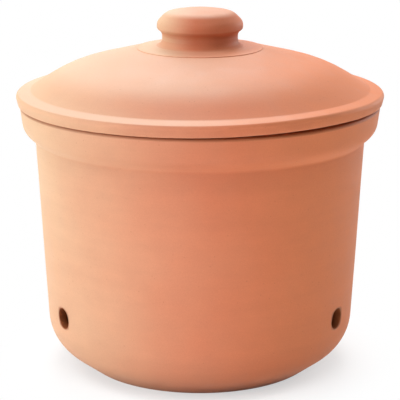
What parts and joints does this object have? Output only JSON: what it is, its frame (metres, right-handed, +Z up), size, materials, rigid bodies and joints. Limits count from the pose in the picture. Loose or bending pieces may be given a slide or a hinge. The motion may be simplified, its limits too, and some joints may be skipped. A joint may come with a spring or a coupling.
{
  "type": "potato keeper",
  "caption": "Round unglazed clay storage pot with a thick collar, vents low in its wall and a domed lid with a knob, which lifts off to reach the potatoes.",
  "frame": {"origin": "middle of the base, on the surface that the pot stands on", "axes": "+Z up along the pot's axis, -Y to the front as in the picture, +X to the right"},
  "size_m": [0.2796, 0.2796, 0.2751],
  "materials": {
    "terracotta": "matt, unglazed, fine-grained orange-pink fired clay"
  },
  "bodies": {
    "pot": {"pot": "terracotta"},
    "lid": {"lid": "terracotta", "knob": "terracotta"}
  },
  "joints": [
    {"name": "lid_lift", "type": "slide", "parent": "pot", "child": "lid", "axis": [0, 0, 1], "range_m": [0, 0.2]}
  ]
}
